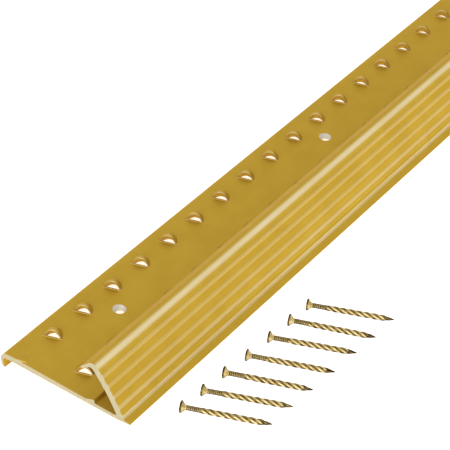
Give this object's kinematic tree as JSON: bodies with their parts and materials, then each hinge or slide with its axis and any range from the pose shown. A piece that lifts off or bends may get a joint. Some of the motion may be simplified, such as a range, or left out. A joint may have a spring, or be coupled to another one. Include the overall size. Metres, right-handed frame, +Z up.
{
  "type": "threshold strip",
  "caption": "Extruded carpet gripper threshold strip with toothed base plate, fold-over fluted cover flange and loose screw nails.",
  "frame": {"origin": "on the floor at mid length, under the flat front foot", "axes": "+X along the strip away from the end with the nails, +Y back to the carpet side, +Z up from the floor"},
  "size_m": [0.9144, 0.0648, 0.0128],
  "materials": {
    "gold_aluminium": "gold anodised, satin",
    "nail_metal": "yellow plated"
  },
  "bodies": {
    "strip_base": {"base_plate": "gold_aluminium"},
    "cover": {"fluted_cover": "gold_aluminium"},
    "loose_nail_1": {"nail_1": "nail_metal"},
    "loose_nail_2": {"nail_2": "nail_metal"},
    "loose_nail_3": {"nail_3": "nail_metal"},
    "loose_nail_4": {"nail_4": "nail_metal"},
    "loose_nail_5": {"nail_5": "nail_metal"},
    "loose_nail_6": {"nail_6": "nail_metal"},
    "loose_nail_7": {"nail_7": "nail_metal"}
  },
  "joints": [
    {"name": "cover_fold", "type": "hinge", "parent": "strip_base", "child": "cover", "pos_m": [0, 0.00078, 0.0013], "axis": [-1, 0, 0], "range_deg": [0, 30]},
    {"name": "nail_1_lift", "type": "slide", "parent": "strip_base", "child": "loose_nail_1", "axis": [0, 0, 1], "range_m": [0, 0.05]},
    {"name": "nail_2_lift", "type": "slide", "parent": "strip_base", "child": "loose_nail_2", "axis": [0, 0, 1], "range_m": [0, 0.05]},
    {"name": "nail_3_lift", "type": "slide", "parent": "strip_base", "child": "loose_nail_3", "axis": [0, 0, 1], "range_m": [0, 0.05]},
    {"name": "nail_4_lift", "type": "slide", "parent": "strip_base", "child": "loose_nail_4", "axis": [0, 0, 1], "range_m": [0, 0.05]},
    {"name": "nail_5_lift", "type": "slide", "parent": "strip_base", "child": "loose_nail_5", "axis": [0, 0, 1], "range_m": [0, 0.05]},
    {"name": "nail_6_lift", "type": "slide", "parent": "strip_base", "child": "loose_nail_6", "axis": [0, 0, 1], "range_m": [0, 0.05]},
    {"name": "nail_7_lift", "type": "slide", "parent": "strip_base", "child": "loose_nail_7", "axis": [0, 0, 1], "range_m": [0, 0.05]}
  ]
}
